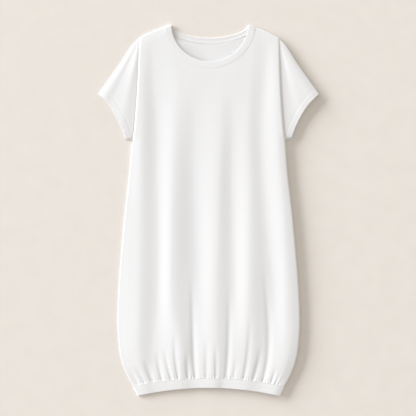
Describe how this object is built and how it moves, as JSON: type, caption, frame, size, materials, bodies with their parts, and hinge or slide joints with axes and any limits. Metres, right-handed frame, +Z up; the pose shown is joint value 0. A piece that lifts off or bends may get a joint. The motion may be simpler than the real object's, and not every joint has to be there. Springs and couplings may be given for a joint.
{
  "type": "t-shirt dress",
  "caption": "Knee-length jersey T-shirt dress laid flat, with a round banded neck, short sleeves cut in one with the body and a gathered, ribbed hem band.",
  "frame": {"origin": "on the surface the dress lies on, under the centre of its box", "axes": "+Z up from the surface, out of the front of the dress; +Y along the dress towards the neck; +X across it, to the right in the picture"},
  "size_m": [0.584, 0.9828, 0.0115],
  "materials": {
    "front_jersey": "matte white cotton jersey",
    "back_jersey": "matte white cotton jersey",
    "neck_rib": "matte white cotton rib, folded double",
    "hem_rib": "matte white cotton rib, folded double"
  },
  "bodies": {
    "root": {"front_panel": "front_jersey", "back_panel": "back_jersey", "neck_band": "neck_rib", "hem_band": "hem_rib"}
  },
  "joints": []
}
